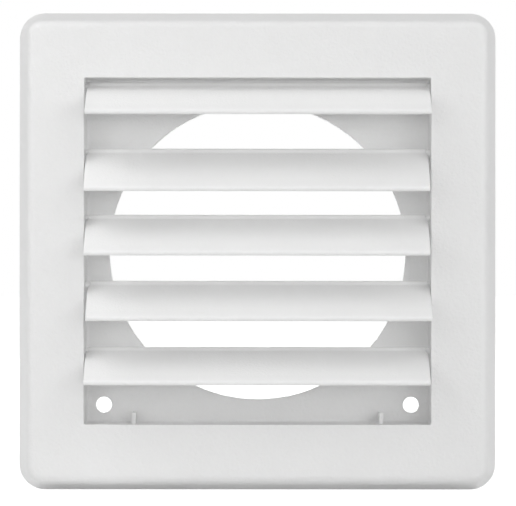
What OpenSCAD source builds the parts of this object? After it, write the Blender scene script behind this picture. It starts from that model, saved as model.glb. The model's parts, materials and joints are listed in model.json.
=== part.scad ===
// Gravity vent grille: a moulded wall casing with five flaps that hang on their own pins.
// The origin is on the duct's axis in the plane of the wall. +Z is up and the face looks along -Y.
// Everything is in millimetres.

/* [Duct] */
// Inner diameter of the duct that the spigot enters
duct_diameter = 100; // [80:1:125]
// Gap between the spigot and the duct, on the radius
duct_clearance = 0.9; // [0.3:0.05:1.2]
// Wall of the spigot
spigot_wall = 1.3; // [1:0.1:2]
// How far the spigot stands out behind the wall plane
spigot_length = 25; // [15:1:45]
// Lead-in at the spigot's far end
spigot_lead = 0.6; // [0.2:0.1:0.9]

/* [Casing] */
// Depth of the casing from the wall to the front of the face
casing_depth = 15; // [12.5:0.5:20]
// Width of the rim round the opening, measured at the wall
bezel_width = 21.2; // [17:0.1:30]
// Radius of the rim's corners at the wall
corner_radius = 8; // [7:0.5:12]
// How far the rim's outer sides lean in towards the face
draft_angle = 14; // [5:0.5:16]
// Rounding of the face's outer edge
edge_radius = 2.6; // [1:0.1:3]
// Thickness of the face
face_wall = 2.2; // [1.8:0.1:3]
// Thickness of the skirt round the outside
skirt_wall = 2; // [1.6:0.1:2.4]
// Rounding inside the hollow, between the skirt and the face
hollow_radius = 0.6; // [0.3:0.1:1]
// Thickness of the stiffening ribs in the hollow back
rib_wall = 1.4; // [1:0.1:1.8]
// How far the stiffening ribs stay back from the wall
rib_setback = 3; // [1:0.5:6]
// Distance between the stiffening ribs above and below the opening
rib_spacing = 36; // [25:1:45]

/* [Opening] */
// Distance from the duct to the walls of the opening
duct_margin = 3.8; // [3.5:0.1:10]
// Thickness of the walls round the opening
opening_wall = 1.8; // [1.4:0.1:2.4]
// Chamfer on the opening's front edge
opening_chamfer = 0.3; // [0.1:0.1:0.8]
// Thickness of the back plate
plate_wall = 2; // [1.6:0.1:2.5]
// Diameter of the screw holes
screw_hole_diameter = 5; // [4:0.1:5.5]
// Distance from the screw holes' centres to the walls of the opening
screw_inset = 5.55; // [5:0.05:6.5]

/* [Stops] */
// Distance from the middle to each stop rib of the lowest flap
stop_rib_offset = 38.6; // [20:0.1:45]
// Thickness of a stop rib
stop_rib_wall = 1.4; // [1:0.05:2]
// Height of a stop rib above the opening's bottom wall
stop_rib_height = 3.5; // [3:0.1:4.5]
// Gap between a closed flap and what it comes to rest on
stop_gap = 0.3; // [0.2:0.05:0.5]

/* [Flaps] */
// Angle of each flap from vertical as it stands, the top flap first
flap_angles = [63, 52.5, 55.6, 57.4, 60.7]; // [10:0.1:78]
// Sideways play that each flap has taken up, the top flap first
flap_shifts = [0.15, -0.2, -0.2, 0.4, -0.15]; // [-0.4:0.05:0.4]
// Thickness of a blade
blade_wall = 1.2; // [1:0.1:1.4]
// How far a blade bows forwards between its barrel and its lip
blade_bow = 0.8; // [0.4:0.1:1]
// Diameter of the barrel along a blade's upper edge
barrel_diameter = 2.5; // [2.4:0.1:3]
// Diameter of the bead along a blade's lower edge
lip_diameter = 1.6; // [1.5:0.1:1.8]
// Gap between a blade's end and the opening's wall
flap_side_gap = 0.55; // [0.5:0.05:1]
// How much shorter the barrel is than the blade, at each end
neck_cutback = 1; // [0.6:0.1:2]
// How far below the pivot the blade has its full width
neck_drop = 2; // [1.8:0.1:3]
// How far a closed flap's lip hangs below the top of the next barrel
flap_lap = 0.45; // [0.2:0.05:0.5]

/* [Pivots] */
// Distance from the front of the face to the pivots
pivot_depth = 7; // [5:0.1:8.4]
// Distance from the opening's top wall to the top pivot
top_pivot_drop = 2.4; // [2.2:0.1:4]
// Distance from the closed bottom flap to the opening's bottom wall
bottom_gap = 2.8; // [1:0.1:3.2]
// Diameter of a pivot pin
pin_diameter = 2; // [1.6:0.1:2.4]
// Gap between a pin and its hole, on the radius
pin_clearance = 0.08; // [0.02:0.01:0.1]
// How far a centred pin stands out of its boss
pin_end = 0.5; // [0.4:0.1:1.5]
// Chamfer at a pin's end
pin_chamfer = 0.3; // [0.1:0.1:0.5]
// Diameter of the bosses round the pivot holes
boss_diameter = 5; // [4:0.1:6]
// How far the bosses stand out from the opening's side walls
boss_height = 1; // [0.5:0.1:2]

/* [Hidden] */
$fn = 96;

// A cut runs this far past the face that it opens
cut = 1;
flap_count = len(flap_angles);
plastic = [0.93, 0.93, 0.925];

opening_size = duct_diameter + 2 * duct_margin;
face_size = opening_size + 2 * bezel_width;
walled_size = opening_size + 2 * opening_wall;
spigot_radius = duct_diameter / 2 - duct_clearance;
bore_radius = spigot_radius - spigot_wall;
screw_spacing = opening_size - 2 * screw_inset;
front_y = -casing_depth;
pivot_y = front_y + pivot_depth;

barrel_radius = barrel_diameter / 2;
lip_radius = lip_diameter / 2;
pin_radius = pin_diameter / 2;
top_pivot_z = opening_size / 2 - top_pivot_drop;

// The flaps share the height between the top pivot and the gap under the bottom flap
pivot_pitch = (opening_size - top_pivot_drop - bottom_gap + barrel_radius - flap_lap) / flap_count;
flap_reach = pivot_pitch - barrel_radius + flap_lap;
lip_distance = flap_reach - lip_radius;

// A closed flap leans out until its lip lies the stop gap in front of the next barrel
lip_to_next = barrel_radius + lip_radius + stop_gap;
closed_angle = acos((pivot_pitch ^ 2 + lip_distance ^ 2 - lip_to_next ^ 2) / (2 * pivot_pitch * lip_distance));

// The blade is an arc from the pivot to the middle of the lip
bow_radius = lip_distance ^ 2 / (8 * blade_bow) + blade_bow / 2;

blade_length = opening_size - 2 * flap_side_gap;
barrel_length = blade_length - 2 * neck_cutback;
pin_length = flap_side_gap + neck_cutback + opening_wall + boss_height + pin_end;

function pivot_z(number) = top_pivot_z - (number - 1) * pivot_pitch;

// Half of the rim's outline in section, with a drafted side and a rounded front edge.
// x runs outwards from the centre of a corner, and y runs from the wall to the front.
module rim_section(radius, depth, rounding, behind) {
  middle = radius - (depth - rounding) * tan(draft_angle) - rounding / cos(draft_angle);
  polygon([
    [0, -behind],
    [radius + behind * tan(draft_angle), -behind],
    [middle + rounding * cos(draft_angle), depth - rounding + rounding * sin(draft_angle)],
    [middle, depth - rounding],
    [middle, depth],
    [0, depth],
  ]);
  intersection() {
    translate([middle, depth - rounding])
      circle(rounding);
    square([radius, depth]);
  }
}

// A square block with drafted sides, round corners and a rounded front edge.
// Its sides lie an inset inside the casing's, and it starts a little behind the wall plane.
module drafted_block(inset, depth, rounding, behind) {
  reach = face_size / 2 - corner_radius;
  radius = corner_radius - inset / cos(draft_angle);
  for (turn = [0 : 3])
    rotate([0, turn * 90, 0]) {
      translate([reach, 0, -reach])
        linear_extrude(2 * reach)
          mirror([0, 1])
            rim_section(radius, depth, rounding, behind);
      translate([reach, 0, reach])
        rotate([90, 0, 0])
          rotate_extrude(angle = 90)
            rim_section(radius, depth, rounding, behind);
    }
  translate([-reach, -depth, -reach])
    cube([2 * reach, depth + behind, 2 * reach]);
}

// A square tube along Y, from one depth to another
module square_prism(size, from_y, to_y) {
  translate([-size / 2, min(from_y, to_y), -size / 2])
    cube([size, abs(to_y - from_y), size]);
}

// The hollow behind the face, between the skirt and the walls of the opening
module back_hollow() {
  difference() {
    drafted_block(skirt_wall, casing_depth - face_wall, hollow_radius, cut);
    square_prism(walled_size, front_y, 2 * cut);
  }
}

// A rib across the hollow above the opening, at a distance from the middle
module hollow_rib(offset_x) {
  inner = walled_size / 2 - opening_wall / 2;
  outer = face_size / 2;
  translate([offset_x - rib_wall / 2, front_y + face_wall / 2, inner])
    cube([rib_wall, casing_depth - face_wall / 2 - rib_setback, outer - inner]);
}

// Ribs on all four sides: at the walls' ends, spaced out above and below, and between the pivots
module rib_rows() {
  corner_line = opening_size / 2 + opening_wall / 2;
  for (turn = [0 : 3])
    rotate([0, turn * 90, 0])
      for (side = [-1, 1])
        hollow_rib(side * corner_line);
  for (turn = [0, 2])
    rotate([0, turn * 90, 0])
      for (place = [-1 : 1])
        hollow_rib(place * rib_spacing);
  for (number = [1 : flap_count - 1])
    for (side = [-1, 1])
      rotate([0, side * 90, 0])
        hollow_rib(-side * (pivot_z(number) - pivot_pitch / 2));
}

// The ribs, ended inside the skirt
module hollow_ribs() {
  intersection() {
    rib_rows();
    drafted_block(skirt_wall / 2, casing_depth - face_wall / 2, hollow_radius, 0);
  }
}

// A pyramid that flares the opening's front edge
module opening_flare() {
  narrow = opening_size / 2;
  wide = narrow + opening_chamfer + cut;
  intersection_for (turn = [0, 1])
    rotate([0, turn * 90, 0])
      linear_extrude(2 * wide, center = true)
        polygon([
          [-wide, front_y - cut],
          [wide, front_y - cut],
          [narrow, front_y + opening_chamfer],
          [-narrow, front_y + opening_chamfer],
        ]);
}

// A round bar along Y
module bar_along_y(radius, from_y, to_y) {
  translate([0, to_y, 0])
    rotate([90, 0, 0])
      cylinder(r = radius, h = to_y - from_y);
}

// The tube that enters the duct, with a lead-in at its far end
module spigot() {
  rotate([-90, 0, 0])
    rotate_extrude()
      polygon([
        [bore_radius, -plate_wall],
        [spigot_radius, -plate_wall],
        [spigot_radius, spigot_length - spigot_lead],
        [spigot_radius - spigot_lead, spigot_length],
        [bore_radius, spigot_length],
      ]);
}

module pivot_bosses() {
  for (number = [1 : flap_count], side = [-1, 1])
    translate([side * (walled_size / 2 - opening_wall / 2), pivot_y, pivot_z(number)])
      rotate([0, side * 90, 0])
        cylinder(d = boss_diameter, h = opening_wall / 2 + boss_height);
}

module pivot_holes() {
  for (number = [1 : flap_count])
    translate([-walled_size / 2 - boss_height - cut, pivot_y, pivot_z(number)])
      rotate([0, 90, 0])
        cylinder(r = pin_radius + pin_clearance, h = walled_size + 2 * (boss_height + cut));
}

// Ribs on the bottom wall that the lowest flap comes to rest on
module stop_ribs() {
  lip_back = pivot_y - lip_distance * sin(closed_angle) + lip_radius;
  rib_front = lip_back + stop_gap;
  for (side = [-1, 1])
    translate([side * stop_rib_offset - stop_rib_wall / 2, rib_front, -opening_size / 2 - opening_wall / 2])
      cube([stop_rib_wall, -plate_wall / 2 - rib_front, stop_rib_height + opening_wall / 2]);
}

module casing() {
  color(plastic)
    difference() {
      union() {
        difference() {
          drafted_block(0, casing_depth, edge_radius, 0);
          back_hollow();
          square_prism(opening_size, front_y - cut, -plate_wall);
        }
        hollow_ribs();
        pivot_bosses();
        stop_ribs();
        spigot();
      }
      opening_flare();
      pivot_holes();
      bar_along_y(bore_radius, -plate_wall - cut, cut);
      for (x = [-1, 1], z = [-1, 1])
        translate([x, 0, z] * screw_spacing / 2)
          bar_along_y(screw_hole_diameter / 2, -plate_wall - cut, cut);
    }
}

// Section of a hanging flap, its pivot at the origin: x runs backwards and y runs up
module flap_section() {
  circle(barrel_radius);
  translate([0, -lip_distance])
    circle(lip_radius);
  intersection() {
    translate([bow_radius - blade_bow, -lip_distance / 2])
      difference() {
        circle(bow_radius + blade_wall / 2, $fn = 360);
        circle(bow_radius - blade_wall / 2, $fn = 360);
      }
    translate([-blade_bow - blade_wall, -lip_distance])
      square([blade_bow + 2 * blade_wall, lip_distance]);
  }
}

// Carries a section along X, centred
module along_x(length) {
  translate([-length / 2, 0, 0])
    rotate([90, 0, 90])
      linear_extrude(length)
        children();
}

// A pin with a chamfered end, from the barrel's end outwards along +X
module pin() {
  rotate([0, 90, 0])
    rotate_extrude()
      polygon([
        [0, 0],
        [pin_radius, 0],
        [pin_radius, pin_length - pin_chamfer],
        [pin_radius - pin_chamfer, pin_length],
        [0, pin_length],
      ]);
}

// A flap in its place, turned out to its own angle
module flap(number) {
  color(plastic)
    translate([flap_shifts[number - 1], pivot_y, pivot_z(number)])
      rotate([-flap_angles[number - 1], 0, 0]) {
        difference() {
          along_x(blade_length)
            flap_section();
          for (turn = [0, 180])
            rotate([0, 0, turn])
              translate([barrel_length / 2, -barrel_diameter, -neck_drop])
                cube([neck_cutback + cut, 2 * barrel_diameter, neck_drop + barrel_diameter]);
        }
        for (turn = [0, 180])
          rotate([0, 0, turn])
            translate([barrel_length / 2, 0, 0])
              pin();
      }
}

casing();
flap(1);  // flap_1
flap(2);  // flap_2
flap(3);  // flap_3
flap(4);  // flap_4
flap(5);  // flap_5
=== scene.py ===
"""Gravity vent grille: a white moulded wall casing with five hanging flaps, finished for rendering.

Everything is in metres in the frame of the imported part: the origin lies on the duct's axis in the plane of
the wall, +Z is up and the face looks along -Y. Sizes written in millimetres are scaled where a mesh is made.
"""

import json
import logging
import math
from collections.abc import Sequence
from dataclasses import dataclass, field
from enum import Enum

import bmesh
import bpy
import numpy as np
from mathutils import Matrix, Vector


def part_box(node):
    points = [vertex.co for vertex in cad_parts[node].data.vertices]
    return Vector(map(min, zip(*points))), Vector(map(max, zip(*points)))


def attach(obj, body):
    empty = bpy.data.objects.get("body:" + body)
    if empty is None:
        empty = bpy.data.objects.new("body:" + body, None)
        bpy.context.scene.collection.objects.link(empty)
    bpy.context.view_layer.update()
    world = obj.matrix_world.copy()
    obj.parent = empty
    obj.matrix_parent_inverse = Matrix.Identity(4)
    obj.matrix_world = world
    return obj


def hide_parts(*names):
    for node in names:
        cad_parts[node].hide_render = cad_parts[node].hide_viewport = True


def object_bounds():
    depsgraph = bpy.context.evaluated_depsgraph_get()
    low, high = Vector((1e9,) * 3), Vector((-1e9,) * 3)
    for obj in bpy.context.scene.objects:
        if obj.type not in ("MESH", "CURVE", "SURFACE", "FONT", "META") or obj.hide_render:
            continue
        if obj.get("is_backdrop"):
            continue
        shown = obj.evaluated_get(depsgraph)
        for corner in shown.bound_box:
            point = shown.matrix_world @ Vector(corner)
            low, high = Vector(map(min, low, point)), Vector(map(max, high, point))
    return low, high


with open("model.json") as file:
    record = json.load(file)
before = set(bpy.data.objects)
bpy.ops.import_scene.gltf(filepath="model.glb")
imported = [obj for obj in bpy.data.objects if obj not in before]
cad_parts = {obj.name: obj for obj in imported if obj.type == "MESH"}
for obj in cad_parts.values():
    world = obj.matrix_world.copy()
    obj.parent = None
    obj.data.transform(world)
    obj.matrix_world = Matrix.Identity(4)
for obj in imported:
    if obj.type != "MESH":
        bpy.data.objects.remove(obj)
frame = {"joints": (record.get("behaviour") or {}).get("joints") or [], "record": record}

MM = 0.001
# The angles at which a rounded edge has its points, from the flat face to the side
EDGE_TURNS = np.radians([90, 60, 30, 0])
# Points round a pin, boss or pivot hole
ROUND_POINTS = 32
# Edges that turn by more than this many degrees are shaded sharp
SHARP_ABOVE = 40
log = logging.getLogger("vent_grille")


class Slot(Enum):
    """The material slots of the part."""

    CASING = "casing_plastic"
    FLAP = "flap_plastic"


@dataclass
class Shell:
    """A closed surface: its points in millimetres, and its faces as lists of point numbers."""

    points: np.ndarray
    faces: list[list[int]]

    def turned(self, quarter_turns: int) -> "Shell":
        """The surface turned about the Y axis.

        Args:
            quarter_turns: How many right angles to turn by, from +Z towards +X.

        Returns:
            The turned shell.
        """
        angle = quarter_turns * math.pi / 2
        cosine, sine = round(math.cos(angle)), round(math.sin(angle))
        x, y, z = self.points.T
        return Shell(np.column_stack([cosine * x + sine * z, y, cosine * z - sine * x]), self.faces)

    def moved(self, offset: Sequence[float]) -> "Shell":
        """The surface moved.

        Args:
            offset: How far to move along X, Y and Z, in millimetres.

        Returns:
            The moved shell.
        """
        return Shell(self.points + np.asarray(offset, float), self.faces)


def grid_faces(rows: int, columns: int, close_rows: bool, close_columns: bool) -> list[list[int]]:
    """The four-sided faces of a grid of points that is stored row by row.

    Args:
        rows: Number of rows of points.
        columns: Number of points in a row.
        close_rows: Whether the last row joins the first.
        close_columns: Whether the last point of a row joins its first.

    Returns:
        One list of four point numbers for each face.
    """
    row = np.arange(rows if close_rows else rows - 1)[:, None]
    column = np.arange(columns if close_columns else columns - 1)[None, :]
    next_row, next_column = (row + 1) % rows, (column + 1) % columns
    corners = [
        row * columns + column,
        row * columns + next_column,
        next_row * columns + next_column,
        next_row * columns + column,
    ]
    return np.stack(corners, axis=-1).reshape(-1, 4).tolist()


def smooth_step(share: np.ndarray) -> np.ndarray:
    """A smooth rise from 0 to 1: share^2 * (3 - 2 * share).

    Args:
        share: How far along the rise each point lies, from 0 to 1.

    Returns:
        The height at each point.
    """
    return share**2 * (3 - 2 * share)


def rounded_corner(
    before: np.ndarray, corner: np.ndarray, after: np.ndarray, radius: float, steps: int
) -> np.ndarray:
    """The arc that rounds one corner of an outline.

    With the turn at the corner called t, the arc touches both sides at radius * tan(t / 2) from the corner,
    and its centre lies on the line that halves the corner.

    Args:
        before: The outline's point before the corner.
        corner: The corner.
        after: The point after the corner.
        radius: Radius of the arc.
        steps: Number of straight steps along the arc.

    Returns:
        The arc's points, steps + 1 rows of two.
    """
    back = (before - corner) / np.linalg.norm(before - corner)
    ahead = (after - corner) / np.linalg.norm(after - corner)
    half_open = math.acos(float(np.clip(back @ ahead, -1, 1))) / 2
    middle = (back + ahead) / np.linalg.norm(back + ahead)
    centre = corner + middle * radius / math.sin(half_open)
    start = corner + back * radius / math.tan(half_open) - centre
    end = corner + ahead * radius / math.tan(half_open) - centre
    sweep = math.pi - 2 * half_open
    share = np.linspace(0, 1, steps + 1)[:, None]
    return centre + (np.sin((1 - share) * sweep) * start + np.sin(share * sweep) * end) / math.sin(sweep)


def rounded_outline(corners: np.ndarray, radii: Sequence[float], steps: int) -> np.ndarray:
    """A closed outline with every corner rounded.

    Args:
        corners: The outline's corners, one row of two for each.
        radii: The radius at each corner.
        steps: Number of straight steps along each arc.

    Returns:
        The points of all arcs in order.
    """
    before, after = np.roll(corners, 1, axis=0), np.roll(corners, -1, axis=0)
    arcs = [rounded_corner(*places, radius, steps) for *places, radius in zip(before, corners, after, radii)]
    return np.vstack(arcs)


def inset_outline(corners: np.ndarray, distance: float) -> np.ndarray:
    """The corners of an outline after each side has moved inwards.

    A corner between sides whose inward normals are n and m moves by distance * (n + m) / (1 + n . m).

    Args:
        corners: The outline's corners, anticlockwise.
        distance: How far each side moves.

    Returns:
        The new corners.
    """
    along = np.roll(corners, -1, axis=0) - corners
    along /= np.linalg.norm(along, axis=1)[:, None]
    inward = np.column_stack([-along[:, 1], along[:, 0]])
    previous = np.roll(inward, 1, axis=0)
    return corners + distance * (inward + previous) / (1 + np.sum(inward * previous, axis=1))[:, None]


def rounded_slab(corners: np.ndarray, radius: float, thickness: float, edge: float) -> Shell:
    """A flat slab with rounded corners and softly rounded edges on both faces, its thickness along X.

    The outline lies in the YZ plane. Over a quarter turn a, the outline is drawn in by edge * (1 - cos a)
    while it moves out by edge * sin a, which rounds the edge.

    Args:
        corners: The outline's corners as (y, z), anticlockwise.
        radius: Radius of the outline's corners.
        thickness: Thickness of the slab.
        edge: Radius of the rounded edges.

    Returns:
        The closed slab.
    """
    near_side = -thickness / 2 + edge - edge * np.sin(EDGE_TURNS)
    far_side = thickness / 2 - edge + edge * np.sin(EDGE_TURNS[::-1])
    depths = np.concatenate([near_side, far_side])
    drawn_in = edge * (1 - np.cos(EDGE_TURNS))
    insets = np.concatenate([drawn_in, drawn_in[::-1]])
    rings = []
    for depth, inset in zip(depths, insets):
        outline = rounded_outline(inset_outline(corners, inset), [radius - inset] * len(corners), 3)
        rings.append(np.column_stack([np.full(len(outline), depth), outline]))
    count = len(rings[0])
    last = (len(rings) - 1) * count
    faces = grid_faces(len(rings), count, False, True)
    faces += [list(range(count))[::-1], list(range(last, last + count))]
    return Shell(np.vstack(rings), faces)


def turned_shell(profile: np.ndarray, steps: int) -> Shell:
    """A solid of revolution about the X axis with flat ends.

    A profile point at (x, r) goes round the circle (x, r cos a, r sin a).

    Args:
        profile: Points as (x, r), from one flat end to the other.
        steps: Number of points round each circle.

    Returns:
        The closed solid.
    """
    angle = np.linspace(0, 2 * math.pi, steps, endpoint=False)
    x = np.repeat(profile[:, :1], steps, axis=1)
    y, z = profile[:, 1:] * np.cos(angle), profile[:, 1:] * np.sin(angle)
    last = (len(profile) - 1) * steps
    faces = grid_faces(len(profile), steps, False, True)
    faces += [list(range(steps))[::-1], list(range(last, last + steps))]
    return Shell(np.stack([x, y, z], axis=-1).reshape(-1, 3), faces)


def mesh_object(name: str, shell: Shell) -> bpy.types.Object:
    """Puts a shell into a new object at the origin, with its faces pointing outwards.

    Args:
        name: Name of the object and its mesh.
        shell: The surface, in millimetres.

    Returns:
        The object, linked to the scene.
    """
    mesh = bpy.data.meshes.new(name)
    mesh.from_pydata((shell.points * MM).tolist(), [], shell.faces)
    sheet = bmesh.new()
    sheet.from_mesh(mesh)
    bmesh.ops.recalc_face_normals(sheet, faces=sheet.faces)
    sheet.to_mesh(mesh)
    sheet.free()
    mesh.update()
    made = bpy.data.objects.new(name, mesh)
    bpy.context.scene.collection.objects.link(made)
    return made


def smooth_shading(made: bpy.types.Object, sharp_above: float) -> None:
    """Shades a piece smoothly, with flat faces kept flat beside their rounded edges.

    Args:
        made: The piece.
        sharp_above: Edges that turn by more than this many degrees stay sharp.
    """
    mesh = made.data
    mesh.shade_smooth()
    mesh.set_sharp_from_angle(angle=math.radians(sharp_above))
    weigh = made.modifiers.new("flat_faces_lead", "WEIGHTED_NORMAL")
    weigh.keep_sharp = True
    weigh.weight = 100


def combined(body: bpy.types.Object, tool: bpy.types.Object, operation: str) -> None:
    """Adds a solid to another or cuts it out, and removes the tool.

    Args:
        body: The solid that changes.
        tool: The solid that is added or cut out.
        operation: UNION or DIFFERENCE.
    """
    step = body.modifiers.new("combine", "BOOLEAN")
    step.operation = operation
    step.solver = "MANIFOLD"
    step.object = tool
    view = bpy.context.evaluated_depsgraph_get()
    result = bpy.data.meshes.new_from_object(body.evaluated_get(view))
    body.modifiers.remove(step)
    old = body.data
    body.data = result
    result.name = body.name
    bpy.data.meshes.remove(old)
    bpy.data.objects.remove(tool)


@dataclass(frozen=True)
class MouldedPlastic:
    """A white moulded plastic finish."""

    name: str
    colour: tuple[float, float, float]
    roughness: float
    roughness_spread: float
    grain_size: float
    grain_height: float
    cloud_size: float
    cloud_depth: float
    flow_stretch: tuple[float, float, float]

    def material(self, groups: "FinishGroups") -> bpy.types.Material:
        """Builds the finish.

        Args:
            groups: The shared effects.

        Returns:
            The material.
        """
        made = bpy.data.materials.new(self.name)
        made.use_nodes = True
        tree = made.node_tree
        tree.nodes.clear()
        output = tree.nodes.new("ShaderNodeOutputMaterial")
        plastic = tree.nodes.new("ShaderNodeBsdfPrincipled")
        plastic.inputs["IOR"].default_value = 1.53
        place = tree.nodes.new("ShaderNodeTexCoord")
        spread = tree.nodes.new("ShaderNodeMapping")
        spread.inputs["Scale"].default_value = self.flow_stretch
        clouds = groups.placed(tree, groups.flow_clouds)
        clouds.inputs["Size"].default_value = self.cloud_size
        clouds.inputs["Colour"].default_value = (*self.colour, 1)
        clouds.inputs["Depth"].default_value = self.cloud_depth
        grain = groups.placed(tree, groups.satin_grain)
        grain.inputs["Size"].default_value = self.grain_size
        grain.inputs["Roughness"].default_value = self.roughness
        grain.inputs["Spread"].default_value = self.roughness_spread
        bump = tree.nodes.new("ShaderNodeBump")
        bump.inputs["Distance"].default_value = self.grain_height
        link = tree.links.new
        link(place.outputs["Object"], spread.inputs["Vector"])
        link(spread.outputs["Vector"], clouds.inputs["Place"])
        link(place.outputs["Object"], grain.inputs["Place"])
        link(clouds.outputs["Cloud"], grain.inputs["Cloud"])
        link(clouds.outputs["Colour"], plastic.inputs["Base Color"])
        link(grain.outputs["Roughness"], plastic.inputs["Roughness"])
        link(grain.outputs["Height"], bump.inputs["Height"])
        link(bump.outputs["Normal"], plastic.inputs["Normal"])
        link(plastic.outputs["BSDF"], output.inputs["Surface"])
        return made


class FinishGroups:
    """The surface effects that both plastics share, as node groups."""

    def __init__(self) -> None:
        """Builds each group once."""
        self.flow_clouds = self._flow_clouds()
        self.satin_grain = self._satin_grain()

    @staticmethod
    def placed(tree: bpy.types.NodeTree, group: bpy.types.NodeTree) -> bpy.types.Node:
        """Puts a group into a material.

        Args:
            tree: The material's nodes.
            group: The group.

        Returns:
            The group's node.
        """
        node = tree.nodes.new("ShaderNodeGroup")
        node.node_tree = group
        return node

    @staticmethod
    def _started(name: str, inputs: Sequence[tuple[str, str]], outputs: Sequence[tuple[str, str]]) -> tuple:
        """Starts a group with named sockets.

        Args:
            name: Name of the group.
            inputs: Name and socket kind of each input.
            outputs: Name and socket kind of each output.

        Returns:
            The group, its input node and its output node.
        """
        group = bpy.data.node_groups.new(name, "ShaderNodeTree")
        for direction, sockets in (("INPUT", inputs), ("OUTPUT", outputs)):
            for label, kind in sockets:
                group.interface.new_socket(label, in_out=direction, socket_type="NodeSocket" + kind)
        return group, group.nodes.new("NodeGroupInput"), group.nodes.new("NodeGroupOutput")

    def _flow_clouds(self) -> bpy.types.NodeTree:
        """Broad, soft clouds that the melt leaves in a moulding: a slightly uneven colour and a mask."""
        group, given, result = self._started(
            "flow_clouds",
            [("Place", "Vector"), ("Size", "Float"), ("Colour", "Color"), ("Depth", "Float")],
            [("Colour", "Color"), ("Cloud", "Float")],
        )
        frequency = group.nodes.new("ShaderNodeMath")
        frequency.operation = "DIVIDE"
        frequency.inputs[0].default_value = 1
        noise = group.nodes.new("ShaderNodeTexNoise")
        noise.inputs["Detail"].default_value = 3
        noise.inputs["Roughness"].default_value = 0.45
        noise.inputs["Distortion"].default_value = 0.6
        shade = group.nodes.new("ShaderNodeMath")
        shade.operation = "MULTIPLY_ADD"
        brightness = group.nodes.new("ShaderNodeMath")
        brightness.operation = "SUBTRACT"
        brightness.inputs[0].default_value = 1
        darken = group.nodes.new("ShaderNodeVectorMath")
        darken.operation = "SCALE"
        link = group.links.new
        link(given.outputs["Size"], frequency.inputs[1])
        link(given.outputs["Place"], noise.inputs["Vector"])
        link(frequency.outputs[0], noise.inputs["Scale"])
        link(noise.outputs["Fac"], shade.inputs[0])
        link(given.outputs["Depth"], shade.inputs[1])
        shade.inputs[2].default_value = 0
        link(shade.outputs[0], brightness.inputs[1])
        link(given.outputs["Colour"], darken.inputs[0])
        link(brightness.outputs[0], darken.inputs["Scale"])
        link(darken.outputs["Vector"], result.inputs["Colour"])
        link(noise.outputs["Fac"], result.inputs["Cloud"])
        return group

    def _satin_grain(self) -> bpy.types.NodeTree:
        """The fine satin texture of an eroded mould: a height for a bump, and a roughness.

        The roughness is its middle value + spread * (pits + cloud - 1), since both masks lie about 0.5.
        """
        group, given, result = self._started(
            "satin_grain",
            [
                ("Place", "Vector"),
                ("Size", "Float"),
                ("Roughness", "Float"),
                ("Spread", "Float"),
                ("Cloud", "Float"),
            ],
            [("Height", "Float"), ("Roughness", "Float")],
        )
        frequency = group.nodes.new("ShaderNodeMath")
        frequency.operation = "DIVIDE"
        frequency.inputs[0].default_value = 1
        pits = group.nodes.new("ShaderNodeTexNoise")
        pits.inputs["Detail"].default_value = 4
        pits.inputs["Roughness"].default_value = 0.6
        centred = group.nodes.new("ShaderNodeMath")
        centred.operation = "ADD"
        centred.inputs[1].default_value = -1
        mixed = group.nodes.new("ShaderNodeMath")
        mixed.operation = "ADD"
        rough = group.nodes.new("ShaderNodeMath")
        rough.operation = "MULTIPLY_ADD"
        link = group.links.new
        link(given.outputs["Size"], frequency.inputs[1])
        link(given.outputs["Place"], pits.inputs["Vector"])
        link(frequency.outputs[0], pits.inputs["Scale"])
        link(pits.outputs["Fac"], mixed.inputs[0])
        link(given.outputs["Cloud"], mixed.inputs[1])
        link(mixed.outputs[0], centred.inputs[0])
        link(centred.outputs[0], rough.inputs[0])
        link(given.outputs["Spread"], rough.inputs[1])
        link(given.outputs["Roughness"], rough.inputs[2])
        link(pits.outputs["Fac"], result.inputs["Height"])
        link(rough.outputs[0], result.inputs["Roughness"])
        return group


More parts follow.
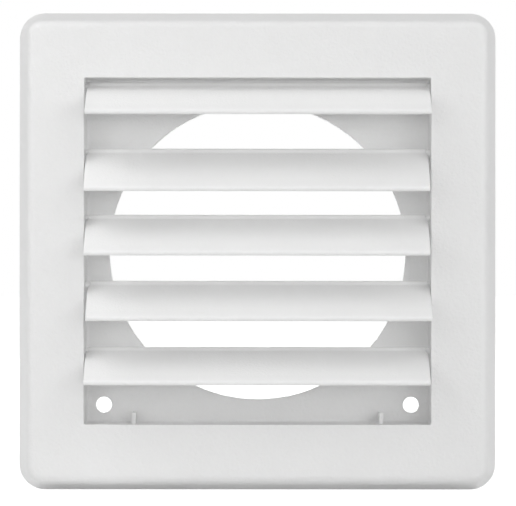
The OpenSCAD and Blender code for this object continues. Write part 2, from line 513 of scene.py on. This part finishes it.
@dataclass
class Casing:
    """The one-piece casing: rim, face, opening walls, back plate, spigot, ribs and pivot bosses.

    Sizes are in millimetres. The outer size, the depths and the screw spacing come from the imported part.
    The hole through the plate is narrower than the bore of the spigot behind it.
    """

    finish: bpy.types.Material
    corner_radius: float = 8
    draft: float = math.radians(14)
    edge_radius: float = 2.6
    face_wall: float = 2.2
    skirt_wall: float = 2
    half_opening: float = 53.8
    opening_wall: float = 1.8
    plate_wall: float = 2
    bore_radius: float = 47.8
    bore_mouth: float = 46.5
    spigot_radius: float = 49.1
    spigot_lead: float = 0.6
    bore_lead: float = 0.3
    plate_corner: float = 0.9
    inner_corner: float = 0.5
    rib_wall: float = 1.4
    rib_corner: float = 0.25
    rib_edge: float = 0.2
    rib_setback: float = 3
    rib_spacing: float = 36
    boss_radius: float = 2.5
    boss_height: float = 1
    boss_edge: float = 0.25
    screw_flare: float = 0.3
    pivot_hole_radius: float = 1.08
    pivot_hole_flare: float = 0.15
    cutter_reach: float = 0.4
    stop_rib_offset: float = 38.6
    stop_rib_wall: float = 1.4
    stop_rib_corner: float = 0.4
    stop_rib_edge: float = 0.25
    stop_rib_height: float = 3.5
    stop_rib_front: float = -8.55
    corner_steps: int = 10
    side_steps: int = 22
    fillet_steps: int = 6
    screw_points: int = 48
    half_face: float = field(init=False)
    front: float = field(init=False)
    far_end: float = field(init=False)
    pivots: list[tuple[float, float]] = field(init=False)
    half_screws: float = field(init=False)
    screw_radius: float = field(init=False)

    def __post_init__(self) -> None:
        """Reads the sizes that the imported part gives."""
        low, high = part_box("casing")
        self.half_face = high.x / MM
        self.front = low.y / MM
        self.far_end = high.y / MM
        self.pivots = [(joint["pos_m"][1] / MM, joint["pos_m"][2] / MM) for joint in frame["joints"]]
        screws = next(mount for mount in frame["record"]["mounts"] if mount["kind"] == "bolt_pattern")["dims"]
        self.half_screws = screws["spacing_x_mm"] / 2
        self.screw_radius = screws["hole_r_mm"]

    def build(self) -> bpy.types.Object:
        """Builds the casing as one closed mesh and dresses it.

        Returns:
            The finished piece.
        """
        body = mesh_object("casing_moulding", self.swept_body())
        for added in [*self.hollow_ribs(), *self.stop_ribs(), *self.bosses()]:
            combined(body, mesh_object("added", added), "UNION")
        for cut in [*self.screw_cuts(), *self.pivot_cuts()]:
            combined(body, mesh_object("cut", cut), "DIFFERENCE")
        body.data.materials.clear()
        body.data.materials.append(self.finish)
        smooth_shading(body, SHARP_ABOVE)
        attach(body, "casing")
        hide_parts("casing")
        return body

    def swept_body(self) -> Shell:
        """The rim, face, opening walls, back plate and spigot as one profile carried round the duct's axis.

        Each profile point has a half size h, a depth y and a roundness w. Its ring is the blend
        (1 - w) * square(h) + w * circle(h), where square(h) has corners of radius h less the reach, and
        never under the inner corner radius. The profile is closed, so the surface is too.

        Returns:
            The closed body.
        """
        half, depth, roundness = self.profile()
        square, circle = self.square_ring(half), self.circle_ring(half)
        ring = (1 - roundness)[:, None, None] * square + roundness[:, None, None] * circle
        y = np.repeat(depth[:, None], ring.shape[1], axis=1)
        points = np.stack([ring[..., 0], y, ring[..., 1]], axis=-1).reshape(-1, 3)
        return Shell(points, grid_faces(len(half), ring.shape[1], True, True))

    def profile(self) -> tuple[np.ndarray, np.ndarray, np.ndarray]:
        """The casing's section, from the rim's back edge over the face and plate and back through the hollow.

        Returns:
            The half size, the depth and the roundness of each point.
        """
        lean = math.tan(self.draft)
        skirt_inside = self.half_face - self.skirt_wall / math.cos(self.draft)
        hollow_front = self.front + self.face_wall
        walled = self.half_opening + self.opening_wall
        lead = self.spigot_lead
        # Each row: half size, depth, roundness, fillet radius, points added on the way to the next row
        rows = np.array([
            [self.half_face, 0, 0, 0.15, 5],
            [self.half_face + self.front * lean, self.front, 0, self.edge_radius, 8],
            [self.half_opening, self.front, 0, 0.3, 6],
            [self.half_opening, -self.plate_wall, 0, self.plate_corner, 9],
            [self.bore_mouth, -self.plate_wall, 1, self.bore_lead, 1],
            [self.bore_mouth, 0, 1, 0.3, 1],
            [self.bore_radius, 0, 1, 0.3, 8],
            [self.bore_radius, self.far_end, 1, 0.12, 0],
            [self.spigot_radius - lead, self.far_end, 1, 0.12, 0],
            [self.spigot_radius, self.far_end - lead, 1, 0.2, 8],
            [self.spigot_radius, 0, 1, 0.5, 9],
            [walled, 0, 0, 0.25, 5],
            [walled, hollow_front, 0, 0.4, 6],
            [skirt_inside + hollow_front * lean, hollow_front, 0, 0.6, 5],
            [skirt_inside, 0, 0, 0.15, 1],
        ])
        corners, roundness, radii, added = rows[:, :2], rows[:, 2], rows[:, 3], rows[:, 4].astype(int)
        before, after = np.roll(corners, 1, axis=0), np.roll(corners, -1, axis=0)
        arcs = [
            rounded_corner(*places, radius, self.fillet_steps)
            for *places, radius in zip(before, corners, after, radii)
        ]
        pieces, shares = [], []
        for number, arc in enumerate(arcs):
            following = (number + 1) % len(arcs)
            share = np.linspace(0, 1, added[number] + 2)[1:-1, None]
            pieces += [arc, arc[-1] + share * (arcs[following][0] - arc[-1])]
            between = roundness[number] + share[:, 0] * (roundness[following] - roundness[number])
            shares += [np.full(len(arc), roundness[number]), between]
        outline = np.vstack(pieces)
        return outline[:, 0], outline[:, 1], np.concatenate(shares)

    def square_ring(self, half: np.ndarray) -> np.ndarray:
        """Points round a square with rounded corners, for each half size.

        Args:
            half: Half sizes, one for each ring.

        Returns:
            Rings by points by two, as x and z.
        """
        reach = self.half_face - self.corner_radius
        radius = np.maximum(half - reach, self.inner_corner)
        centre = half - radius
        turn = np.linspace(-math.pi / 4, math.pi / 4, self.corner_steps + 1) + math.pi / 4
        arc = centre[:, None, None] + radius[:, None, None] * np.stack([np.cos(turn), np.sin(turn)], axis=-1)
        share = np.linspace(0, 1, self.side_steps + 1)[1:-1]
        across = centre[:, None] * (1 - 2 * share)
        side = np.stack([across, np.repeat(half[:, None], len(share), axis=1)], axis=-1)
        quarter = np.concatenate([arc, side], axis=1)
        return self.four_quarters(quarter)

    def circle_ring(self, radius: np.ndarray) -> np.ndarray:
        """Points round a circle for each radius, as many as the square ring has.

        Args:
            radius: Radii, one for each ring.

        Returns:
            Rings by points by two, as x and z.
        """
        count = self.corner_steps + self.side_steps
        start = math.pi / 4 - self.corner_steps / 2 * math.pi / 2 / count
        turn = start + np.arange(count) * math.pi / 2 / count
        quarter = radius[:, None, None] * np.stack([np.cos(turn), np.sin(turn)], axis=-1)
        return self.four_quarters(quarter)

    @staticmethod
    def four_quarters(quarter: np.ndarray) -> np.ndarray:
        """Joins a quarter of each ring with its copies, each turned a right angle further.

        Args:
            quarter: The first quarter of each ring, as x and z.

        Returns:
            The full rings.
        """
        x, z = quarter[..., 0], quarter[..., 1]
        quarters = [np.stack(pair, axis=-1) for pair in ((x, z), (-z, x), (-x, -z), (z, -x))]
        return np.concatenate(quarters, axis=1)

    def hollow_ribs(self) -> list[Shell]:
        """The stiffening ribs in the hollow back, each ended inside the skirt and the opening's wall.

        Returns:
            One slab for each rib.
        """
        lean = math.tan(self.draft)
        inner = self.half_opening + self.opening_wall / 2
        deep, shallow = self.front + self.face_wall / 2, -self.rib_setback
        outer = self.half_face - self.skirt_wall / 2 / math.cos(self.draft)
        corners = np.array([
            [deep, inner],
            [shallow, inner],
            [shallow, outer + shallow * lean],
            [deep, outer + deep * lean],
        ])
        rib = rounded_slab(corners, self.rib_corner, self.rib_wall, self.rib_edge)
        heights = [place[1] for place in self.pivots]
        between = [(upper + lower) / 2 for upper, lower in zip(heights, heights[1:])]
        ribs = [rib.moved([side * inner, 0, 0]).turned(turn) for turn in range(4) for side in (-1, 1)]
        ribs += [
            rib.moved([place * self.rib_spacing, 0, 0]).turned(turn)
            for turn in (0, 2)
            for place in (-1, 0, 1)
        ]
        ribs += [rib.moved([-side * height, 0, 0]).turned(side) for side in (-1, 1) for height in between]
        return ribs

    def stop_ribs(self) -> list[Shell]:
        """The two ribs that the lowest flap comes to rest on.

        Returns:
            The left rib and the right one.
        """
        top = -self.half_opening + self.stop_rib_height
        foot = -self.half_opening - self.opening_wall / 2
        near, far = self.stop_rib_front, -self.plate_wall / 2
        corners = np.array([[near, foot], [far, foot], [far, top], [near, top]])
        rib = rounded_slab(corners, self.stop_rib_corner, self.stop_rib_wall, self.stop_rib_edge)
        return [rib.moved([side * self.stop_rib_offset, 0, 0]) for side in (-1, 1)]

    def bosses(self) -> list[Shell]:
        """A round boss on the outside of the opening's wall at each pivot.

        Returns:
            One boss for each end of each flap.
        """
        start = self.half_opening + self.opening_wall / 2
        end = self.half_opening + self.opening_wall + self.boss_height
        edge, turns = self.boss_edge, EDGE_TURNS[::-1]
        along = end - edge + edge * np.sin(turns)
        rounded = np.column_stack([along, self.boss_radius - edge + edge * np.cos(turns)])
        profile = np.vstack([[start, self.boss_radius], rounded])
        bosses = [turned_shell(profile * [side, 1], ROUND_POINTS) for side in (1, -1)]
        return [boss.moved([0, *place]) for place in self.pivots for boss in bosses]

    def flared_cut(self, start: float, end: float, radius: float, flare: float) -> np.ndarray:
        """Profile of a round cutter that opens out at both faces, which rounds the hole's edges.

        Over a quarter turn a, it is radius + flare * (1 - cos a) wide at flare * (1 - sin a) inside a face.

        Args:
            start: Where one face lies.
            end: Where the other face lies.
            radius: Radius of the hole.
            flare: Radius of the rounded edge.

        Returns:
            Points as (x, r).
        """
        inside = flare * (1 - np.sin(EDGE_TURNS))
        width = radius + flare * (1 - np.cos(EDGE_TURNS))
        opening = np.column_stack([start + inside, width])
        closing = np.column_stack([end - inside, width])[::-1]
        mouth = radius + flare
        before, past = start - self.cutter_reach, end + self.cutter_reach
        return np.vstack([[before, mouth], opening, closing, [past, mouth]])

    def screw_cuts(self) -> list[Shell]:
        """The cutters of the four screw holes in the back plate.

        Returns:
            One cutter for each hole.
        """
        profile = self.flared_cut(-self.plate_wall, 0, self.screw_radius, self.screw_flare)
        cutter = turned_shell(profile, self.screw_points)
        x, y, z = cutter.points.T
        along_y = Shell(np.column_stack([y, x, z]), cutter.faces)
        places = (-self.half_screws, self.half_screws)
        return [along_y.moved([aside, 0, up]) for aside in places for up in places]

    def pivot_cuts(self) -> list[Shell]:
        """The cutters of the pivot holes through the opening's walls and the bosses.

        Returns:
            One cutter for each end of each flap.
        """
        outside = self.half_opening + self.opening_wall + self.boss_height
        profile = self.flared_cut(self.half_opening, outside, self.pivot_hole_radius, self.pivot_hole_flare)
        cutters = [turned_shell(profile * [side, 1], ROUND_POINTS) for side in (-1, 1)]
        return [cutter.moved([0, *place]) for place in self.pivots for cutter in cutters]


@dataclass
class Flap:
    """One flap: a bowed blade with a barrel along its top, a thickened lip and two end pins.

    Sizes are in millimetres. The place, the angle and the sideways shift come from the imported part.
    """

    number: int
    finish: bpy.types.Material
    open_angle: float = 80
    barrel_radius: float = 1.25
    barrel_wrap: float = 130
    lip_radius: float = 0.8
    lip_swell: float = 3.5
    lip_distance: float = 19.04
    bow: float = 0.8
    wall: float = 1.2
    half_length: float = 53.25
    neck_cutback: float = 0.6
    neck_drop: float = 2
    neck_blend: float = 0.4
    fillet: float = 0.5
    edge: float = 0.25
    pin_radius: float = 1
    pin_chamfer: float = 0.3
    pin_root: float = 1
    barrel_points: int = 19
    blade_points: int = 30
    lip_points: int = 10
    stations: int = 25
    pin_tip: float = field(init=False)
    shift: float = field(init=False)

    def __post_init__(self) -> None:
        """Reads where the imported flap's pins end, and how far it has slid sideways."""
        low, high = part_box(f"flap_{self.number}")
        self.pin_tip = (high.x - low.x) / 2 / MM
        self.shift = (low.x + high.x) / 2 / MM

    def build(self) -> bpy.types.Object:
        """Builds the flap where it stands and dresses it.

        Returns:
            The finished piece.
        """
        name = f"flap_{self.number}"
        made = mesh_object(f"{name}_moulding", self.standing(self.blade()))
        for pin in self.pins():
            combined(made, mesh_object("pin", self.standing(pin)), "UNION")
        made.data.materials.clear()
        made.data.materials.append(self.finish)
        smooth_shading(made, SHARP_ABOVE)
        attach(made, name)
        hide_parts(name)
        return made

    def standing(self, hanging: Shell) -> Shell:
        """Turns a flap that hangs straight down at the origin out to its angle, at its own pivot.

        Args:
            hanging: The flap with its pivot at the origin.

        Returns:
            The flap in its place.
        """
        joint = frame["joints"][self.number - 1]
        pivot = np.array(joint["pos_m"]) / MM
        angle = math.radians(self.open_angle - joint["range_deg"][1])
        x, y, z = hanging.points.T
        turned_y = y * math.cos(angle) + z * math.sin(angle)
        turned_z = z * math.cos(angle) - y * math.sin(angle)
        points = np.column_stack([x + self.shift, turned_y + pivot[1], turned_z + pivot[2]])
        return Shell(points, hanging.faces)

    def section(self, inset: float) -> tuple[np.ndarray, np.ndarray, np.ndarray]:
        """Both sides of the flap's section: a thickness carried along a bowed centre line.

        The centre line is an arc from the pivot to the middle of the lip, at the distance s along it, and
        it goes on straight past both. The blade's half thickness grows from its half wall to the lip's
        radius by a smooth step over the last stretch. The whole is the smooth greatest of the barrel's
        sqrt(b^2 - s^2) and the blade, and past the lip's middle it is the lip's sqrt(l^2 - (s - S)^2). The
        smooth greatest of p and q is max(p, q) + max(k - |p - q|, 0)^2 / 4k, a fillet of about k.

        Args:
            inset: How far the whole section is drawn in.

        Returns:
            The front points and the back points as (y, z), and the distance s of each.
        """
        radius = self.lip_distance**2 / (8 * self.bow) + self.bow / 2
        half_turn = math.asin(self.lip_distance / 2 / radius)
        length = 2 * radius * half_turn
        barrel, lip, half_wall = self.barrel_radius - inset, self.lip_radius - inset, self.wall / 2 - inset
        round_barrel = -barrel * np.cos(np.radians(np.linspace(0, self.barrel_wrap, self.barrel_points)))
        round_lip = length + lip * np.sin(np.radians(np.linspace(0, 90, self.lip_points)))
        along = np.linspace(round_barrel[-1], round_lip[0], self.blade_points + 2)[1:-1]
        s = np.concatenate([round_barrel, along, round_lip])
        of_barrel = np.sqrt(np.maximum(barrel**2 - s**2, 0))
        of_lip = np.sqrt(np.maximum(lip**2 - (s - length) ** 2, 0))
        share = np.clip((s - length) / self.lip_swell + 1, 0, 1)
        swollen = half_wall + (lip - half_wall) * smooth_step(share)
        of_blade = np.where(s > 0, swollen, -1)
        half = np.where(s < length, self.smooth_greatest(of_barrel, of_blade), of_lip)
        turn = np.clip(s, 0, length) / radius - half_turn
        beyond = s - np.clip(s, 0, length)
        bowed_y = radius - self.bow - radius * np.cos(turn)
        bowed_z = -self.lip_distance / 2 - radius * np.sin(turn)
        line = np.column_stack([bowed_y, bowed_z])
        line += beyond[:, None] * np.column_stack([np.sin(turn), -np.cos(turn)])
        forward = np.column_stack([-np.cos(turn), -np.sin(turn)])
        return line + half[:, None] * forward, line - half[:, None] * forward, s

    def smooth_greatest(self, first: np.ndarray, second: np.ndarray) -> np.ndarray:
        """The greater of two heights at each point, with a fillet where they cross.

        Args:
            first: One height at each point.
            second: The other height at each point.

        Returns:
            The smooth greatest at each point.
        """
        near = np.maximum(self.fillet - np.abs(first - second), 0)
        return np.maximum(first, second) + near**2 / (4 * self.fillet)

    def blade(self) -> Shell:
        """The blade with its barrel and lip, as the section carried from one end to the other.

        At each end the section is drawn in by edge * (1 - cos a) over the last edge * sin a, which rounds
        it. The end itself steps back by the neck's cutback above the neck, by a smooth step over s.

        Returns:
            The closed blade.
        """
        drawn_in, set_back = 1 - np.cos(EDGE_TURNS), 1 - np.sin(EDGE_TURNS)
        middle = np.zeros(self.stations)
        insets = np.concatenate([drawn_in, middle, drawn_in[::-1]]) * self.edge
        back_from_end = np.concatenate([set_back, middle, set_back[::-1]]) * self.edge
        inner = np.linspace(-1, 1, self.stations + 2)[1:-1]
        end = np.ones(len(EDGE_TURNS))
        places = np.concatenate([-end, inner, end])
        rings = []
        for place, inset, back in zip(places, insets, back_from_end):
            front, rear, s = self.section(inset)
            share = np.clip((s - self.neck_drop + self.neck_blend / 2) / self.neck_blend, 0, 1)
            reach = self.half_length - self.neck_cutback * (1 - smooth_step(share))
            x = place * (reach - np.where(abs(place) == 1, back, self.edge))
            outline = np.vstack([np.column_stack([x, front]), np.column_stack([x, rear])[-2:0:-1]])
            rings.append(outline)
        count, samples = len(rings[0]), len(front)
        faces = grid_faces(len(rings), count, False, True)
        for first in (0, (len(rings) - 1) * count):
            for step in range(samples - 1):
                across = [step, step + 1, (count - step - 1) % count, (count - step) % count]
                faces.append([first + corner for corner in dict.fromkeys(across)])
        return Shell(np.vstack(rings), faces)

    def pins(self) -> list[Shell]:
        """The two pivot pins, rooted inside the barrel and chamfered at their ends.

        The chamfer's two edges are broken by a few hundredths of a millimetre.

        Returns:
            The right pin and the left one.
        """
        root = self.half_length - self.neck_cutback - self.pin_root
        tip = self.pin_tip
        profile = np.array([
            [root, self.pin_radius],
            [tip - self.pin_chamfer - 0.05, self.pin_radius],
            [tip - self.pin_chamfer + 0.03, self.pin_radius - 0.04],
            [tip - 0.04, self.pin_radius - self.pin_chamfer + 0.03],
            [tip, self.pin_radius - self.pin_chamfer - 0.06],
        ])
        return [turned_shell(profile * [side, 1], ROUND_POINTS) for side in (1, -1)]


@dataclass
class PhotoCamera:
    """The camera at the photograph's viewing angle. The picture is 516 by 506 pixels."""

    picture_width: int = 516
    pixels_per_radian: float = 2903
    distance: float = 0.9
    aside: float = 0.00015
    rise: float = -0.005
    tilt: float = math.radians(0.28)
    roll: float = math.radians(-0.048)
    sensor: float = 36

    def build(self) -> bpy.types.Object:
        """Makes the camera in front of the face and gives it to the scene.

        Returns:
            The camera.
        """
        lens = bpy.data.cameras.new("photo_camera")
        lens.sensor_width = self.sensor
        lens.lens = self.pixels_per_radian / self.picture_width * self.sensor
        lens.clip_end = 100
        camera = bpy.data.objects.new("photo_camera", lens)
        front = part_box("casing")[0].y
        camera.location = (self.aside, front - self.distance, self.rise)
        camera.rotation_euler = (math.pi / 2 + self.tilt, self.roll, 0)
        bpy.context.scene.collection.objects.link(camera)
        bpy.context.scene.camera = camera
        return camera


@dataclass(frozen=True)
class Softbox:
    """A square soft lamp that faces the middle of the grille. Distance and size are in metres."""

    name: str
    azimuth: float
    elevation: float
    distance: float
    size: float
    power: float

    def build(self) -> bpy.types.Object:
        """Makes the lamp. Azimuth 0 stands in front of the face and 90 to its right.

        Returns:
            The lamp.
        """
        light = bpy.data.lights.new(self.name, "AREA")
        light.shape = "SQUARE"
        light.size = self.size
        light.energy = self.power
        lamp = bpy.data.objects.new(self.name, light)
        azimuth, elevation = math.radians(self.azimuth), math.radians(self.elevation)
        away = Vector((
            math.sin(azimuth) * math.cos(elevation),
            -math.cos(azimuth) * math.cos(elevation),
            math.sin(elevation),
        ))
        lamp.location = away * self.distance
        lamp.rotation_mode = "QUATERNION"
        lamp.rotation_quaternion = away.to_track_quat("Z", "Y")
        lamp.visible_camera = False
        bpy.context.scene.collection.objects.link(lamp)
        return lamp


@dataclass
class Studio:
    """A pale floor, a white surround, soft lamps in front and a small one behind."""

    lamps: Sequence[Softbox] = (
        Softbox("high_left_softbox", -70, 55, 1.3, 0.8, 5.2),
        Softbox("high_right_softbox", 45, 50, 1.3, 0.8, 2.5),
        Softbox("right_softbox", 65, 25, 1.3, 0.8, 2.6),
        Softbox("low_right_softbox", 38, 0, 1.3, 0.6, 2.5),
        Softbox("near_left_softbox", -50, 20, 0.4, 0.25, 0.33),
        Softbox("near_right_softbox", 50, 20, 0.4, 0.25, 0.06),
        Softbox("back_softbox", -175, 6, 1.3, 0.3, 3.5),
    )
    surround_strength: float = 0.04
    panel_strength: float = 5.5
    panel_facing: tuple[float, float, float] = (0, -0.944, -0.33)
    panel_narrowness: float = 8
    floor_shade: float = 0.88
    near_glow: float = 0.8
    far_glow: float = 1
    glow_reach: float = 0.5
    floor_radius: float = 6

    def build(self) -> None:
        """Builds the floor, the surround and the lamps."""
        self.floor()
        self.surround()
        for lamp in self.lamps:
            lamp.build()
            log.info("lamp %s at azimuth %g, elevation %g", lamp.name, lamp.azimuth, lamp.elevation)

    @staticmethod
    def seen_or_mirrored(tree: bpy.types.NodeTree) -> bpy.types.NodeSocket:
        """A mask that is 1 for what the camera sees directly, in a reflection or through glass.

        Args:
            tree: The nodes that the mask goes into.

        Returns:
            The mask's socket.
        """
        path = tree.nodes.new("ShaderNodeLightPath")
        total = path.outputs["Is Camera Ray"]
        for label in ("Is Glossy Ray", "Is Transmission Ray"):
            either = tree.nodes.new("ShaderNodeMath")
            either.operation = "MAXIMUM"
            tree.links.new(total, either.inputs[0])
            tree.links.new(path.outputs[label], either.inputs[1])
            total = either.outputs[0]
        return total

    def floor(self) -> bpy.types.Object:
        """A round pale floor under the casing. It glows a little where it is seen, so it reads as white.

        Returns:
            The floor.
        """
        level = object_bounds()[0].z
        sheet = bmesh.new()
        bmesh.ops.create_circle(sheet, cap_ends=True, segments=96, radius=self.floor_radius)
        bmesh.ops.translate(sheet, verts=sheet.verts, vec=(0, 0, level))
        mesh = bpy.data.meshes.new("floor")
        sheet.to_mesh(mesh)
        sheet.free()
        floor = bpy.data.objects.new("floor", mesh)
        bpy.context.scene.collection.objects.link(floor)
        pale = bpy.data.materials.new("pale_floor")
        pale.use_nodes = True
        tree = pale.node_tree
        surface = tree.nodes["Principled BSDF"]
        surface.inputs["Base Color"].default_value = (self.floor_shade, self.floor_shade, self.floor_shade, 1)
        surface.inputs["Roughness"].default_value = 0.9
        surface.inputs["Specular IOR Level"].default_value = 0
        surface.inputs["Emission Color"].default_value = (1, 1, 1, 1)
        place = tree.nodes.new("ShaderNodeTexCoord")
        away = tree.nodes.new("ShaderNodeVectorMath")
        away.operation = "LENGTH"
        glow = tree.nodes.new("ShaderNodeMapRange")
        glow.inputs["From Max"].default_value = self.glow_reach
        glow.inputs["To Min"].default_value = self.near_glow
        glow.inputs["To Max"].default_value = self.far_glow
        masked = tree.nodes.new("ShaderNodeMath")
        masked.operation = "MULTIPLY"
        tree.links.new(place.outputs["Object"], away.inputs[0])
        tree.links.new(away.outputs["Value"], glow.inputs["Value"])
        tree.links.new(glow.outputs["Result"], masked.inputs[0])
        tree.links.new(self.seen_or_mirrored(tree), masked.inputs[1])
        tree.links.new(masked.outputs[0], surface.inputs["Emission Strength"])
        mesh.materials.append(pale)
        floor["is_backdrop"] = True
        return floor

    def surround(self) -> None:
        """A white surround, with a long soft panel low in front.

        With c the cosine of the angle to the panel's middle, the light is ambient + panel * c^narrowness.
        """
        world = bpy.data.worlds.new("surround")
        world.use_nodes = True
        bpy.context.scene.world = world
        tree = world.node_tree
        light = tree.nodes["Background"]
        light.inputs["Color"].default_value = (1, 1, 1, 1)
        direction = tree.nodes.new("ShaderNodeTexCoord")
        toward = tree.nodes.new("ShaderNodeVectorMath")
        toward.operation = "DOT_PRODUCT"
        toward.inputs[1].default_value = self.panel_facing
        ahead = tree.nodes.new("ShaderNodeMath")
        ahead.operation = "MAXIMUM"
        ahead.inputs[1].default_value = 0
        panel = tree.nodes.new("ShaderNodeMath")
        panel.operation = "POWER"
        panel.inputs[1].default_value = self.panel_narrowness
        lit = tree.nodes.new("ShaderNodeMath")
        lit.operation = "MULTIPLY_ADD"
        lit.inputs[1].default_value = self.panel_strength
        lit.inputs[2].default_value = self.surround_strength
        level = tree.nodes.new("ShaderNodeMapRange")
        level.inputs["To Max"].default_value = 1
        tree.links.new(direction.outputs["Generated"], toward.inputs[0])
        tree.links.new(toward.outputs["Value"], ahead.inputs[0])
        tree.links.new(ahead.outputs[0], panel.inputs[0])
        tree.links.new(panel.outputs[0], lit.inputs[0])
        tree.links.new(lit.outputs[0], level.inputs["To Min"])
        tree.links.new(self.seen_or_mirrored(tree), level.inputs["Value"])
        tree.links.new(level.outputs["Result"], light.inputs["Strength"])


def main() -> None:
    """Builds the grille, the studio and the camera."""
    logging.basicConfig(level=logging.INFO, format="%(name)s: %(message)s")
    bpy.context.scene.view_settings.view_transform = "Standard"
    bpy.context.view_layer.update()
    PhotoCamera().build()
    groups = FinishGroups()
    casing_satin = MouldedPlastic(
        name="casing_satin",
        colour=(0.9, 0.9, 0.898),
        roughness=0.4,
        roughness_spread=0.2,
        grain_size=0.0009,
        grain_height=0.00025,
        cloud_size=0.03,
        cloud_depth=0.02,
        flow_stretch=(1, 1, 1),
    )
    flap_satin = MouldedPlastic(
        name="flap_satin",
        colour=(0.95, 0.95, 0.948),
        roughness=0.36,
        roughness_spread=0.2,
        grain_size=0.0007,
        grain_height=0.00014,
        cloud_size=0.02,
        cloud_depth=0.015,
        flow_stretch=(0.35, 1, 1),
    )
    casing_finish, flap_finish = casing_satin.material(groups), flap_satin.material(groups)
    casing = Casing(casing_finish).build()
    log.info("%s: %d faces", casing.name, len(casing.data.polygons))
    for number in range(1, len(frame["joints"]) + 1):
        flap = Flap(number, flap_finish).build()
        log.info("%s: %d faces", flap.name, len(flap.data.polygons))
    Studio().build()


if __name__ == "__main__":
    main()
